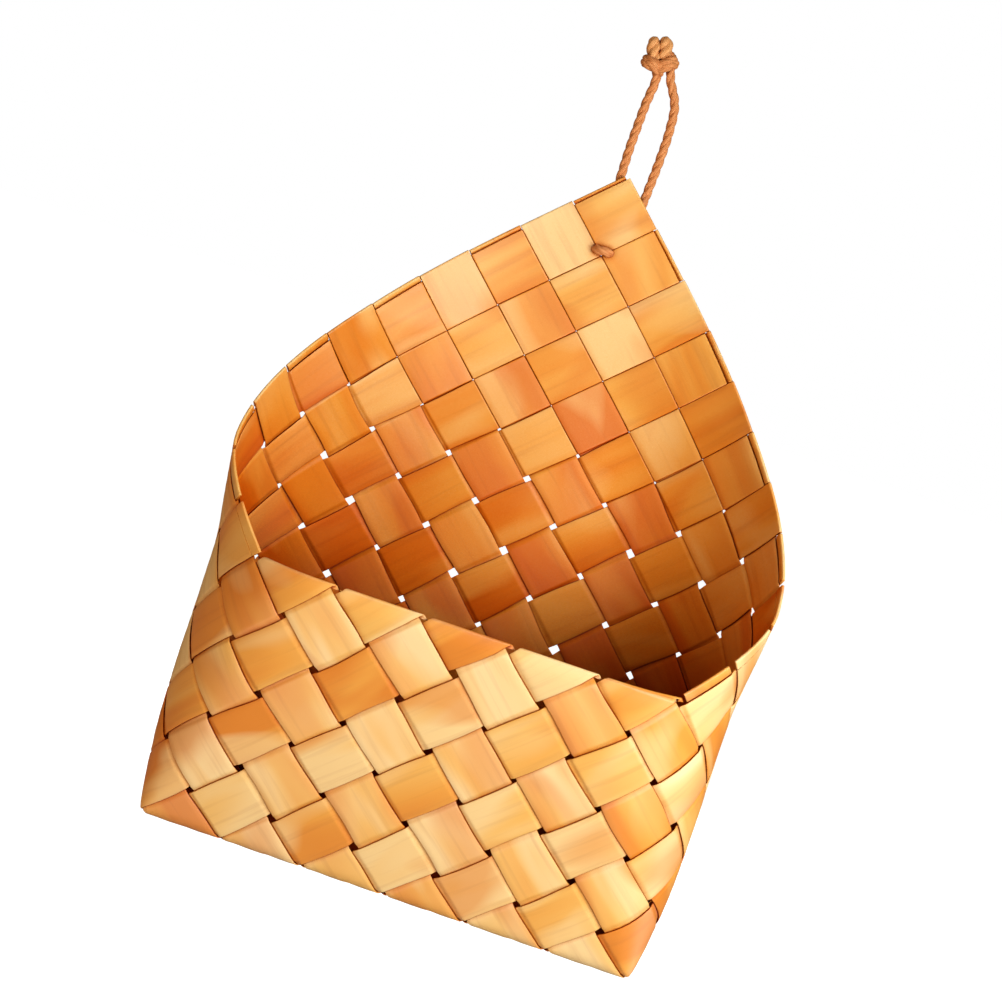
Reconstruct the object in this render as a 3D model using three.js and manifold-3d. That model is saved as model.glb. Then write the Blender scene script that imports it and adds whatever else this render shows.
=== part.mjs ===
// A wall basket plaited on the bias from sixteen flat wood splints, with a corded hanging loop.
// Lengths are in millimetres and angles in degrees. +Z is up and the wall is on the +Y side.
import * as THREE from 'three';
import { mergeVertices } from 'three/addons/utils/BufferGeometryUtils.js';
import Module from 'manifold-3d';

// Splints
const splintWidth = 19.6;
const splintThickness = 0.8;
const splintGap = 2.4; // between neighbouring parallel splints
const plyClearance = 0.3; // between pieces that lie on each other

// Counts of the weave, in half diagonals of one woven cell
const baseWidthSteps = 12;
const baseDepthSteps = 4;
const rimRow = 7; // height of the front rim
const rimHalfSteps = 5; // half the length of the front rim

// Shape of the wall
const sideLean = 2.2; // outward lean of the two sides
const frontCornerRatio = 0.45; // radius that a front corner gains with height
const backCornerRatio = 0.445; // radius that a back corner gains with height
const largestBackRadius = 90;
const cornerSwell = 9; // extra radius that each corner takes on low on the wall
const upperHeightRatio = 0.945; // height of a cell above the front rim over its height below

// Folded ends of the splints
const hemReach = 2.7; // how far a hem stands past the splint along the edge
const hemRound = 0.4;
const rimRise = 1.6; // top of the rim's folds above the middle of the rim's cells
const rimFlapDepth = 11;

// Cord of the hanging loop
const cordDiameter = 3.2;
const cordSides = 8;
const strandSpread = 5.2; // between the two strands that pass through the back
const strandRise = 1.8; // strands above the middle of the hole in the weave
const pierceClearance = 0.35;

// Knot of the hanging loop
const knotDiameter = 13.4;
const knotHeight = 8;
const knotFlat = 10.8; // diameter of the knot's flat ends
const knotDepthRatio = 0.8; // front-to-back size of the knot over its diameter
const knotTilt = 17.6; // lean of the knot away from upright
const knotMiddle = [-2, 72.3]; // across, and above the hole in the weave
const leftLegAcross = -1.2; // where each leg meets the knot's underside
const rightLegAcross = 4.2;
const tailLength = 5.8;
const tailDiameter = 4.4;
const tailSpread = 5.2;
const nailDrop = 7.5; // from the knot's middle down to the nail

// Routes of the loop's two legs: across, and above the hole in the weave
const leftRoute = [[-2.5, 10], [-2.4, 20], [-2.5, 30], [-2.7, 40], [-2.5, 50], [-2.2, 58]];
const rightRoute = [[6, 10], [8.2, 20], [8.9, 30], [9.3, 40], [9.3, 50], [8.1, 60]];

// Values worked out from the sizes above
const pitch = splintWidth + splintGap;
const step = pitch / Math.SQRT2;
const halfSplint = splintWidth / 2;
const layer = (splintThickness + plyClearance) / 2;
const halfPly = splintThickness / 2;
const skin = layer + halfPly;
const halfWidthSteps = baseWidthSteps / 2;
const baseHalf = halfWidthSteps * step;
const backSteps = baseWidthSteps + baseDepthSteps;
const backMiddle = backSteps * step;
const rimHeight = rimRow * step;
const topRow = rimRow + backSteps - rimHalfSteps;
const cordRadius = cordDiameter / 2;
const smallestRadius = 1e-6;

const isOdd = (n) => Math.abs(n) % 2 === 1;
const radians = THREE.MathUtils.degToRad;

// Height above the base of a place on the unrolled wall
function wallHeight(z) {
  return z <= rimHeight ? z : rimHeight + (z - rimHeight) * upperHeightRatio;
}

// Extra corner radius at a height z, none at the foot and none from the front's rim up
const swellPeak = 4 / 27; // largest value of rise * (1 - rise) ** 2
function lowSwell(z) {
  const rise = Math.min(z / rimHeight, 1);
  return cornerSwell * rise * (1 - rise) ** 2 / swellPeak;
}

// Middle of the weave at a distance s round from the front's middle and a height z on the unrolled wall:
// a rounded rectangle of constant girth, whose corners open out with height
function wallPoint(s, z) {
  const around = s - 2 * backMiddle * Math.round(s / (2 * backMiddle));
  const a = Math.abs(around);
  const swell = lowSwell(z);
  // Rounder corners take up less of the girth, which lets the sides stand further out
  const halfWidth = baseHalf + z * Math.tan(radians(sideLean)) + 2 * (1 - Math.PI / 4) * swell;
  const backRadius = Math.max(Math.min(backCornerRatio * z + swell, largestBackRadius), smallestRadius);
  // On a side, the front corner keeps to the room that the back corner leaves
  const cornerRoom = (backMiddle - 2 * halfWidth) / (Math.PI / 2 - 1) - backRadius;
  const freeRadius = frontCornerRatio * Math.min(z, rimHeight) + swell;
  const frontRadius = Math.max(Math.min(freeRadius, cornerRoom), smallestRadius);
  const cornerLoss = 2 * (1 - Math.PI / 4) * (frontRadius + backRadius);
  const depth = backMiddle - 2 * halfWidth + cornerLoss;
  const frontStart = halfWidth - frontRadius;
  const frontEnd = frontStart + frontRadius * Math.PI / 2;
  const backEnd = backMiddle - halfWidth + backRadius;
  const backStart = backEnd - backRadius * Math.PI / 2;
  let x = halfWidth;
  let y = a - frontEnd + frontRadius - depth;
  if (a >= backEnd) {
    x = backMiddle - a;
    y = 0;
  } else if (a >= backStart) {
    const turn = (backEnd - a) / backRadius;
    x = halfWidth - backRadius * (1 - Math.sin(turn));
    y = -backRadius * (1 - Math.cos(turn));
  } else if (a <= frontStart) {
    x = a;
    y = -depth;
  } else if (a < frontEnd) {
    const turn = (a - frontStart) / frontRadius;
    x = frontStart + frontRadius * Math.sin(turn);
    y = frontRadius * (1 - Math.cos(turn)) - depth;
  }
  return new THREE.Vector3(Math.sign(around) * x, y, wallHeight(z));
}

const basePoint = (x, y) => new THREE.Vector3(x, y, 0);

// The four sides of the base: where a base cell on that edge stands on the unrolled wall, which way a
// splint leaving over it runs, and the base point that a place below the wall's foot folds to
const sideStart = halfWidthSteps + baseDepthSteps;
const sides = {
  front: {
    place: (x) => x,
    turn: (dx) => dx,
    fold: (s, z) => basePoint(s, -baseDepthSteps * step - z),
  },
  right: {
    place: (x, y) => sideStart + y,
    turn: (dx, dy) => dy,
    fold: (s, z) => basePoint(baseHalf + z, s - sideStart * step),
  },
  back: {
    place: (x) => backSteps - x,
    turn: (dx) => -dx,
    fold: (s, z) => basePoint(backMiddle - s, z),
  },
  left: {
    place: (x, y) => -sideStart - y,
    turn: (dx, dy) => -dy,
    fold: (s, z) => basePoint(-baseHalf - z, -s - sideStart * step),
  },
};

function sideOf(x, y) {
  if (y === -baseDepthSteps) return sides.front;
  if (y === 0) return sides.back;
  return x > 0 ? sides.right : sides.left;
}

// One cross-section of a splint: left and right edges on its outer face, then on its inner face
function section(left, right, leftNormal, rightNormal, outer, inner) {
  return [
    left.clone().addScaledVector(leftNormal, outer),
    right.clone().addScaledVector(rightNormal, outer),
    right.clone().addScaledVector(rightNormal, inner),
    left.clone().addScaledVector(leftNormal, inner),
  ];
}

function faceNormal(a, b, c) {
  return b.clone().sub(a).cross(c.clone().sub(a)).normalize();
}

// One woven cell of a splint. It lies in two flat facets that meet along one diagonal, and the splint
// that crosses there lies parallel to the same facets.
function makeCell(chart, place, run, leftward, foldForward) {
  const at = (u, v) => chart(
    place[0] * step + (u * run[0] + v * leftward[0]) / Math.SQRT2,
    place[1] * step + (u * run[1] + v * leftward[1]) / Math.SQRT2,
  );
  const inLeft = at(-halfSplint, halfSplint);
  const inRight = at(-halfSplint, -halfSplint);
  const outRight = at(halfSplint, -halfSplint);
  const outLeft = at(halfSplint, halfSplint);
  const first = foldForward ? faceNormal(inLeft, inRight, outRight) : faceNormal(inLeft, inRight, outLeft);
  const second = foldForward ? faceNormal(inLeft, outRight, outLeft) : faceNormal(inRight, outRight, outLeft);
  const shared = first.clone().add(second).divideScalar(1 + first.dot(second));
  const normals = foldForward
    ? { inLeft: shared, inRight: first, outRight: shared, outLeft: second }
    : { inLeft: first, inRight: shared, outRight: second, outLeft: shared };
  return { at, inLeft, inRight, outRight, outLeft, normals, foldForward };
}

// A ribbon collects cross-sections and, for each step between two, which diagonal folds the step
function makeRibbon() {
  return { sections: [], folds: [] };
}

function addSection(ribbon, next, foldForward = false) {
  if (ribbon.sections.length > 0) ribbon.folds.push(foldForward);
  ribbon.sections.push(next);
}

function addCell(ribbon, cell, outside) {
  const middle = outside ? layer : -layer;
  const n = cell.normals;
  const faces = [middle + halfPly, middle - halfPly];
  addSection(ribbon, section(cell.inLeft, cell.inRight, n.inLeft, n.inRight, ...faces));
  addSection(ribbon, section(cell.outLeft, cell.outRight, n.outLeft, n.outRight, ...faces), cell.foldForward);
}

// The end of a splint on a side edge: turned over there in a hem, past the splint along the edge
function addHem(ribbon, cell, outside) {
  const middle = outside ? layer : -layer;
  const start = halfSplint + plyClearance;
  const tip = halfSplint + hemReach;
  const stations = [
    [start, middle + halfPly, middle - halfPly],
    [start + hemRound, skin, -skin],
    [tip - hemRound, skin, -skin],
    [tip, skin - hemRound, hemRound - skin],
  ];
  for (const [u, outer, inner] of stations) {
    const left = cell.at(u, halfSplint);
    const right = cell.at(u, -halfSplint);
    addSection(ribbon, section(left, right, cell.normals.outLeft, cell.normals.outRight, outer, inner));
  }
}

// The end of a splint on the front rim, in the half cell under the rim. The outer splint is folded over
// the rim to the inside and ends there in a pointed flap; the inner splint is cut off under the fold.
function addRimEnd(ribbon, cell, outside) {
  const leftTip = outside ? cell.inLeft : cell.outLeft;
  const rightTip = outside ? cell.outRight : cell.inRight;
  const bottom = outside ? cell.inRight : cell.inLeft;
  const along = rightTip.clone().sub(leftTip).normalize();
  const out = faceNormal(leftTip, bottom, rightTip);
  const up = out.clone().cross(along);
  const rimPoint = (tip, rise, inward, offset) => tip.clone()
    .addScaledVector(up, rise)
    .addScaledVector(along, tip === leftTip ? inward : -inward)
    .addScaledVector(out, offset);
  const rimSection = (outerRise, innerRise, inward, outer, inner) => [
    rimPoint(leftTip, outerRise, inward, outer),
    rimPoint(rightTip, outerRise, inward, outer),
    rimPoint(rightTip, innerRise, inward, inner),
    rimPoint(leftTip, innerRise, inward, inner),
  ];
  const middle = outside ? layer : -layer;
  const faces = [middle + halfPly, middle - halfPly];
  addSection(ribbon, section(cell.inLeft, cell.inRight, out, out, ...faces));
  const foldInside = rimRise - splintThickness;
  if (!outside) {
    const cutRise = foldInside - plyClearance;
    addSection(ribbon, rimSection(cutRise, cutRise, 0, ...faces));
    return;
  }
  const flap = -3 * layer;
  addSection(ribbon, rimSection(rimRise, foldInside, 0, ...faces));
  addSection(ribbon, rimSection(rimRise, foldInside, 0, flap - halfPly, flap + halfPly));
  addSection(ribbon, rimSection(-rimFlapDepth, -rimFlapDepth, rimFlapDepth, flap - halfPly, flap + halfPly));
}

// The part of a splint that climbs the wall from one cell on the base's edge, from the foot upwards
function climb(x, y, dx, dy) {
  const side = sideOf(x, y);
  const foot = side.place(x, y);
  const run = [side.turn(dx, dy), 1];
  const chart = (s, z) => (z < 0 ? side.fold(s, z) : wallPoint(s, z));
  const round = 2 * backSteps;
  const firstFoot = 1 - rimRow - rimHalfSteps;
  const offset = run[0] * foot - firstFoot;
  const mirroredFoot = firstFoot + offset - round * Math.floor(offset / round);
  const endsOnRim = mirroredFoot + rimRow < rimHalfSteps;
  const lastRow = endsOnRim ? rimRow : (round + rimRow - rimHalfSteps - 1 - mirroredFoot) / 2;
  const ribbon = makeRibbon();
  for (let row = 0; row <= lastRow; row += 1) {
    const s = foot + run[0] * row;
    const outside = (run[0] > 0) !== isOdd(s);
    const foldForward = (run[0] === run[1]) === (row === 0);
    const cell = makeCell(chart, [s, row], run, [-run[1], run[0]], foldForward);
    if (endsOnRim && row === lastRow) {
      addRimEnd(ribbon, cell, outside);
    } else {
      addCell(ribbon, cell, outside);
      if (row === lastRow) addHem(ribbon, cell, outside);
    }
  }
  return ribbon;
}

// The same ribbon, run through from its other end
function reversed(ribbon) {
  const swapped = ribbon.sections.map(([a, b, c, d]) => [b, a, d, c]);
  return { sections: swapped.reverse(), folds: [...ribbon.folds].reverse() };
}

// One whole splint: down one wall, across the base and up another wall
function makeSplint(rising, line) {
  const cells = [];
  for (let y = -baseDepthSteps; y <= 0; y += 1) {
    const x = rising ? line + y : line - y;
    if (Math.abs(x) <= halfWidthSteps) cells.push([x, y]);
  }
  const run = [rising ? 1 : -1, 1];
  const first = cells[0];
  const last = cells[cells.length - 1];
  const ribbon = reversed(climb(...first, -run[0], -run[1]));
  for (const [x, y] of cells.slice(1, -1)) {
    addCell(ribbon, makeCell(basePoint, [x, y], run, [run[1], -run[0]], false), rising === isOdd(x));
  }
  const lastClimb = climb(...last, ...run);
  ribbon.sections.push(...lastClimb.sections);
  ribbon.folds.push(false, ...lastClimb.folds);
  return ribbonGeometry(ribbon);
}

// Closed solid through a ribbon's cross-sections
function ribbonGeometry({ sections, folds }) {
  const corners = sections.flat();
  const index = [];
  const quad = (a, b, c, d, foldForward) => {
    if (foldForward) index.push(a, b, c, a, c, d);
    else index.push(a, b, d, b, c, d);
  };
  folds.forEach((foldForward, k) => {
    const [lo, ro, ri, li] = [0, 1, 2, 3].map((i) => 4 * k + i);
    const [lo2, ro2, ri2, li2] = [4, 5, 6, 7].map((i) => 4 * k + i);
    quad(lo, ro, ro2, lo2, foldForward);
    quad(ri, li, li2, ri2, !foldForward);
    quad(li, lo, lo2, li2, false);
    quad(ro, ri, ri2, ro2, false);
  });
  const end = 4 * (sections.length - 1);
  quad(0, 3, 2, 1, false);
  quad(end, end + 1, end + 2, end + 3, false);
  const geometry = new THREE.BufferGeometry();
  geometry.setAttribute('position', new THREE.Float32BufferAttribute(corners.flatMap((p) => p.toArray()), 3));
  geometry.setIndex(index);
  geometry.computeVertexNormals();
  return geometry;
}

// Boolean joins and cuts
const wasm = await Module();
wasm.setup();

function toSolid(geometry) {
  const bare = geometry.clone();
  bare.deleteAttribute('normal');
  bare.deleteAttribute('uv');
  const merged = mergeVertices(bare, 1e-5);
  return new wasm.Manifold(new wasm.Mesh({
    numProp: 3,
    vertProperties: new Float32Array(merged.attributes.position.array),
    triVerts: new Uint32Array(merged.index.array),
  }));
}

function fromSolid(solid) {
  const mesh = solid.getMesh();
  const geometry = new THREE.BufferGeometry();
  geometry.setAttribute('position', new THREE.BufferAttribute(mesh.vertProperties, 3));
  geometry.setIndex(new THREE.BufferAttribute(mesh.triVerts, 1));
  geometry.computeVertexNormals();
  return geometry;
}

// Places on the cord: the hole in the weave under the top cell, and the strands beside its middle
const hole = wallPoint(backMiddle, (topRow - 2) * step);
const strandHeight = hole.z + strandRise;
const halfSpread = strandSpread / 2;
const cordBehind = skin + plyClearance + cordRadius;

// The strands push through the splints round the hole
function pierced(geometry) {
  const position = geometry.attributes.position;
  const corner = new THREE.Vector3();
  let near = false;
  for (let i = 0; i < position.count; i += 1) {
    near ||= corner.fromBufferAttribute(position, i).distanceTo(hole) < splintWidth;
  }
  if (!near) return geometry;
  const cutterRadius = cordRadius + pierceClearance;
  let solid = toSolid(geometry);
  for (const x of [-halfSpread, halfSpread]) {
    const cutter = new THREE.CylinderGeometry(cutterRadius, cutterRadius, 4 * cordDiameter, cordSides);
    cutter.translate(x, hole.y, strandHeight);
    solid = solid.subtract(toSolid(cutter));
  }
  return fromSolid(solid);
}

// A length of cord along a smooth curve through the points
function cordTube(points) {
  const path = new THREE.CatmullRomCurve3(points, false, 'centripetal');
  const outline = [];
  for (let i = 0; i < cordSides; i += 1) {
    const turn = 2 * Math.PI * i / cordSides;
    outline.push(new THREE.Vector2(cordRadius * Math.cos(turn), cordRadius * Math.sin(turn)));
  }
  const steps = Math.max(6, Math.round(path.getLength() / (2 * cordDiameter)));
  const options = { extrudePath: path, steps, bevelEnabled: false };
  return new THREE.ExtrudeGeometry(new THREE.Shape(outline), options);
}

// The bight on the inside of the back, between the two strands
function stitchGeometry() {
  const bendMiddle = -skin - plyClearance + halfSpread - cordRadius;
  const points = [new THREE.Vector3(-halfSpread, skin, strandHeight)];
  const bendPoints = 6;
  for (let i = 0; i <= bendPoints; i += 1) {
    const turn = Math.PI * i / bendPoints;
    const x = -halfSpread * Math.cos(turn);
    points.push(new THREE.Vector3(x, bendMiddle - halfSpread * Math.sin(turn), strandHeight));
  }
  points.push(new THREE.Vector3(halfSpread, skin, strandHeight));
  return cordTube(points);
}

// A place on the knot: across it and up along its leaning axis
const knotAcross = new THREE.Vector3(Math.cos(radians(knotTilt)), 0, Math.sin(radians(knotTilt)));
const knotUp = new THREE.Vector3(-Math.sin(radians(knotTilt)), 0, Math.cos(radians(knotTilt)));
const knotPlace = new THREE.Vector3(knotMiddle[0], cordBehind, hole.z + knotMiddle[1]);
function onKnot(across, up) {
  return knotPlace.clone().addScaledVector(knotAcross, across).addScaledVector(knotUp, up);
}

// One leg of the loop, from its strand up behind the back to the knot's underside
function legGeometry(side, route, across) {
  const underside = -knotHeight / 2 - plyClearance;
  const points = [new THREE.Vector3(side * halfSpread, cordBehind, strandHeight)];
  for (const [x, z] of route) points.push(new THREE.Vector3(x, cordBehind, hole.z + z));
  points.push(onKnot(across, underside - cordRadius), onKnot(across, underside));
  return cordTube(points);
}

// The knot with the cord's two cut tails on it
function knotGeometry() {
  const half = knotHeight / 2;
  const widest = knotDiameter / 2;
  const flat = knotFlat / 2;
  const shoulder = (widest + flat) / 2 + (widest - flat) / 4;
  const profile = [[0, -half], [flat, -half], [shoulder, -half * 0.6], [widest, 0]];
  profile.push([shoulder, half * 0.6], [flat, half], [0, half]);
  const bead = new THREE.LatheGeometry(profile.map(([r, h]) => new THREE.Vector2(r, h)), 14);
  bead.scale(1, 1, knotDepthRatio);
  let solid = toSolid(bead);
  for (const side of [-1, 1]) {
    const tail = new THREE.CylinderGeometry(tailDiameter / 2, tailDiameter / 2, tailLength + half, cordSides);
    tail.translate(side * tailSpread / 2, (tailLength + half) / 2, 0);
    solid = solid.add(toSolid(tail));
  }
  const geometry = fromSolid(solid);
  const axes = new THREE.Matrix4().makeBasis(knotAcross, knotUp, knotAcross.clone().cross(knotUp));
  geometry.applyMatrix4(axes.setPosition(knotPlace));
  return geometry;
}

// The assembly, with its origin on the wall under the nail that holds the loop
const basket = new THREE.Group();
basket.position.set(0, -skin, nailDrop - knotPlace.z);

function addPiece(name, geometry, color, roughness) {
  const material = new THREE.MeshStandardMaterial({ color, roughness, metalness: 0 });
  const mesh = new THREE.Mesh(geometry, material);
  mesh.name = name;
  basket.add(mesh);
}

const splintColors = [0xe9b36a, 0xdf9a4a, 0xefc684, 0xd98d3d];
const splintRoughness = 0.45;
for (const rising of [true, false]) {
  const firstLine = rising ? 1 - halfWidthSteps : 1 - halfWidthSteps - baseDepthSteps;
  const count = (baseWidthSteps + baseDepthSteps) / 2;
  for (let i = 0; i < count; i += 1) {
    const name = `${rising ? 'right' : 'left'}_splint_${i + 1}`;
    const geometry = pierced(makeSplint(rising, firstLine + 2 * i));
    addPiece(name, geometry, splintColors[i % splintColors.length], splintRoughness);
  }
}

const cordColor = 0xb5683a;
const cordRoughness = 0.6;
addPiece('cord_stitch', stitchGeometry(), cordColor, cordRoughness);
addPiece('cord_left_leg', legGeometry(-1, leftRoute, leftLegAcross), cordColor, cordRoughness);
addPiece('cord_right_leg', legGeometry(1, rightRoute, rightLegAcross), cordColor, cordRoughness);
addPiece('cord_knot', knotGeometry(), cordColor, cordRoughness);

const part = new THREE.Group();
part.add(basket);
export default part;
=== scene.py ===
import math

import bpy
import numpy as np
from mathutils import Matrix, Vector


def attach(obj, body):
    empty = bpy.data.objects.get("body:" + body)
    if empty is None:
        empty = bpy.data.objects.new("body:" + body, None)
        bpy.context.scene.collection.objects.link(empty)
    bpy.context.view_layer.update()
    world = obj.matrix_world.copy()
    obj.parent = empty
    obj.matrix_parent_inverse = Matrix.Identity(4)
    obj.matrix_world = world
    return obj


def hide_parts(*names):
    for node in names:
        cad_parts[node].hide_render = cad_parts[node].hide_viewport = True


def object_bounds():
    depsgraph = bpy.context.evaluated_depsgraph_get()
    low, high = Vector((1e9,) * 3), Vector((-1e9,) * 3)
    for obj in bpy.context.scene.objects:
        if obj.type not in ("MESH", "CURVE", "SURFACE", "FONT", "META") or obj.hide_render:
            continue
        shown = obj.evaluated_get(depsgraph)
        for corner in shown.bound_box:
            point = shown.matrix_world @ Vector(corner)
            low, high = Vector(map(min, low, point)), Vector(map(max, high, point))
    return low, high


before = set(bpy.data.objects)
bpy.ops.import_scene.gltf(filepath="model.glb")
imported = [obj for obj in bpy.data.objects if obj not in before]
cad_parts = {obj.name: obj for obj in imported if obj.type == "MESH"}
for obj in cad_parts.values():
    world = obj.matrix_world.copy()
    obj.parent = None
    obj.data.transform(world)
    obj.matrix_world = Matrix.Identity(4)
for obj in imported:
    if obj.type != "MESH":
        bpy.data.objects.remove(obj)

# A wall basket plaited on the bias from flat wood splints, with a corded hanging loop.
# Shapes are worked out in millimetres, with the foot of the back wall at y = 0 and z = 0, and are
# moved to the model's frame, in metres, when a mesh is made.
cad_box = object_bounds()
MM = 0.001

# Splints
SPLINT_WIDTH = 19.6
SPLINT_THICKNESS = 0.8
SPLINT_GAP = 2.4
PLY_CLEARANCE = 0.3
WOOD_THICKNESS = 0.56  # the wood inside the solid's thickness, so that the plies lie close
WOOD_CLEARANCE = 0.06
BULGE = 0.12  # how far the middle of a woven cell swells off the weave
SPLINT_DRIFT = 0.4  # how far a splint wanders to either side of its line
EDGE_DRIFT = 0.3  # how far each edge of a splint wanders as its width changes
CLOSING_ROWS = (9.5, 12)  # the splints draw together between these rows of the wall
CLOSED_GAP = 0.3  # between splints above those rows
CLOSED_DRIFT = 0.15  # share of the wander left there
EDGE_SHARE = 0.45  # thickness of a splint at its rounded edge over its full thickness
BULGE_FALL = 0.5  # share of the bulge that is gone at a splint's edges
WANDER_LENGTHS = (80, 150)  # shortest and longest wave in which a splint wanders
WIDTH_PACE = 2.7  # waves of a splint's width in one wave of its line
WIDTH_LAG = 1  # radians between the two

# Counts of the weave, in half diagonals of one woven cell
BASE_WIDTH_STEPS = 12
BASE_DEPTH_STEPS = 4
RIM_ROW = 7
RIM_HALF_STEPS = 5

# Shape of the wall
SIDE_LEAN = math.radians(2.2)
FRONT_CORNER_RATIO = 0.45
BACK_CORNER_RATIO = 0.445
LARGEST_BACK_RADIUS = 90
CORNER_SWELL = 9  # extra radius that each corner takes on low on the wall
UPPER_HEIGHT_RATIO = 0.945
FOOT_ROUND = 2  # length on either side of the base's edges over which the weave turns up
SMALLEST_RADIUS = 1e-6  # stands for none where a corner is square
CORNER_SAVING = 2 * (1 - math.pi / 4)  # length that rounding a corner saves, over the radius

# Folded ends of the splints
HEM_ROWS = (11, 17)  # a hem is longest up to the first row and shortest from the second row
HEM_REACHES = (4.2, 2.5)
GROOVE_WIDTH = 0.8  # between the edge splint and the full thickness of a hem
GROOVE_BEND = (0.45, 0.3)  # place of a bend in the groove's side, and its depth as a share of the hem's
HEM_ROUND = 0.92  # share of a quarter turn that rounds a hem's end
END_MARGIN = 0.5  # between a splint's hem and the cross-section before it
RIM_RISE = 1.6  # top of the rim's folds above the middle of the rim's cells
RIM_CUT = 0.4  # end of an inner splint above the middle of the rim's cells
FLAP_SHORTENING = 1.5  # taken off the pointed flaps behind the rim's folds
SHORTEST_FLAP = 0.8

# Cord
CORD_DIAMETER = 3.2
CORD_LAY = 12  # length in which a strand goes round the cord once
CORD_STRANDS = 3
STRAND_SHARE = 0.65  # radius of a strand over that of the cord
CORD_SWELL = 1.1  # reach of the twisted strands over the cord's radius
LEGS_APART = 5.2  # at the hole in the back
LEGS_RISE = 1.8  # of the legs' feet above the hole's middle
KNOT_HEIGHT = 8
KNOT_TILT = math.radians(17.6)
KNOT_MIDDLE = (-2, 72.3)  # across and up from the hole
LEFT_LEG_ACROSS = -1.2  # where a leg goes into the knot, from the knot's middle
RIGHT_LEG_ACROSS = 4.2
NAIL_DROP = 7.5  # of the nail under the knot's middle
WRAP_TURNS = 2  # round each end of the knot
WRAP_SLOPE = math.radians(26)  # how far the knot's turns lean away from its long way
WRAP_MIDDLE = 2.1  # middle of each pair of turns, from the knot's middle
WRAP_HALF = 3.3  # half of one turn's width, along the turn
WRAP_DEPTH = 2.5  # half of one turn's depth, towards the wall
WRAP_SPACING = 3.1  # from one turn to the next
TAIL_LENGTH = 6.0  # above the knot
TAIL_SPREAD = 4.3  # between the two tails
TAIL_RADIUS = 2.6
TAIL_ROOT = 1.5  # start of a tail above the knot's middle
TAIL_BEND = 0.6  # height of a tail's bend over that of its end
TAIL_LEANS = (0.7, 1, 0.85)  # shares of the spread at a tail's start, bend and end
TAIL_ROUND_START = 0.55  # share of a tail's length where its end starts to round over
TAIL_ROUNDING = 0.9  # share of a tail's cross-section that is gone at its end
LEG_TUCK = 3  # how far a leg goes up inside the knot
# Places on the two legs, across and up from the hole
LEFT_ROUTE = [(-2.5, 10), (-2.4, 20), (-2.5, 30), (-2.7, 40), (-2.5, 50), (-2.2, 58)]
RIGHT_ROUTE = [(6, 10), (8.2, 20), (8.9, 30), (9.3, 40), (9.3, 50), (8.1, 60)]

# Values worked out from the sizes above
PITCH = SPLINT_WIDTH + SPLINT_GAP
STEP = PITCH / math.sqrt(2)
HALF_SPLINT = SPLINT_WIDTH / 2
SKIN = SPLINT_THICKNESS + PLY_CLEARANCE / 2  # half of the solid weave's thickness
LAYER = (WOOD_THICKNESS + WOOD_CLEARANCE) / 2
HALF_PLY = WOOD_THICKNESS / 2
WOOD_SKIN = LAYER + HALF_PLY
HALF_WIDTH_STEPS = BASE_WIDTH_STEPS // 2
BASE_HALF = HALF_WIDTH_STEPS * STEP
BASE_DEPTH = BASE_DEPTH_STEPS * STEP
BACK_STEPS = BASE_WIDTH_STEPS + BASE_DEPTH_STEPS
BACK_MIDDLE = BACK_STEPS * STEP
SIDE_START = HALF_WIDTH_STEPS + BASE_DEPTH_STEPS
RIM_HEIGHT = RIM_ROW * STEP
TOP_ROW = RIM_ROW + BACK_STEPS - RIM_HALF_STEPS
CORD_RADIUS = CORD_DIAMETER / 2
SWELL_PEAK = 4 / 27  # largest value of rise * (1 - rise) ** 2


def wall_height(z):
    return np.where(z <= RIM_HEIGHT, z, RIM_HEIGHT + (z - RIM_HEIGHT) * UPPER_HEIGHT_RATIO)


def low_swell(z):
    """Extra corner radius, none at the foot and none from the front's rim up."""
    rise = np.clip(z / RIM_HEIGHT, 0, 1)
    return CORNER_SWELL * rise * (1 - rise) ** 2 / SWELL_PEAK


def wall_point(s, z):
    """Middle of the weave, s round from the front's middle and z up the unrolled wall."""
    around = s - 2 * BACK_MIDDLE * np.round(s / (2 * BACK_MIDDLE))
    a = np.abs(around)
    swell = low_swell(z)
    half_width = BASE_HALF + z * math.tan(SIDE_LEAN) + CORNER_SAVING * swell
    back_radius = np.clip(BACK_CORNER_RATIO * z + swell, SMALLEST_RADIUS, LARGEST_BACK_RADIUS)
    # On a side, the front corner keeps to the room that the back corner leaves
    corner_room = (BACK_MIDDLE - 2 * half_width) / (math.pi / 2 - 1) - back_radius
    free_radius = FRONT_CORNER_RATIO * np.minimum(z, RIM_HEIGHT) + swell
    front_radius = np.maximum(np.minimum(free_radius, corner_room), SMALLEST_RADIUS)
    depth = BACK_MIDDLE - 2 * half_width + CORNER_SAVING * (front_radius + back_radius)
    front_start = half_width - front_radius
    front_end = front_start + front_radius * math.pi / 2
    back_end = BACK_MIDDLE - half_width + back_radius
    back_start = back_end - back_radius * math.pi / 2
    front_turn = np.clip((a - front_start) / front_radius, 0, math.pi / 2)
    back_turn = np.clip((back_end - a) / back_radius, 0, math.pi / 2)
    places = [a >= back_end, a >= back_start, a <= front_start, a < front_end]
    back_x = half_width - back_radius * (1 - np.sin(back_turn))
    front_x = front_start + front_radius * np.sin(front_turn)
    x = np.select(places, [BACK_MIDDLE - a, back_x, a, front_x], half_width)
    back_y = -back_radius * (1 - np.cos(back_turn))
    front_y = front_radius * (1 - np.cos(front_turn)) - depth
    y = np.select(places, [np.zeros_like(a), back_y, -depth, front_y], a - front_end + front_radius - depth)
    return np.stack([np.sign(around) * x, y, wall_height(z)], axis=-1)


def base_point(x, y):
    return np.stack([x, y, np.zeros_like(x)], axis=-1)


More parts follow.
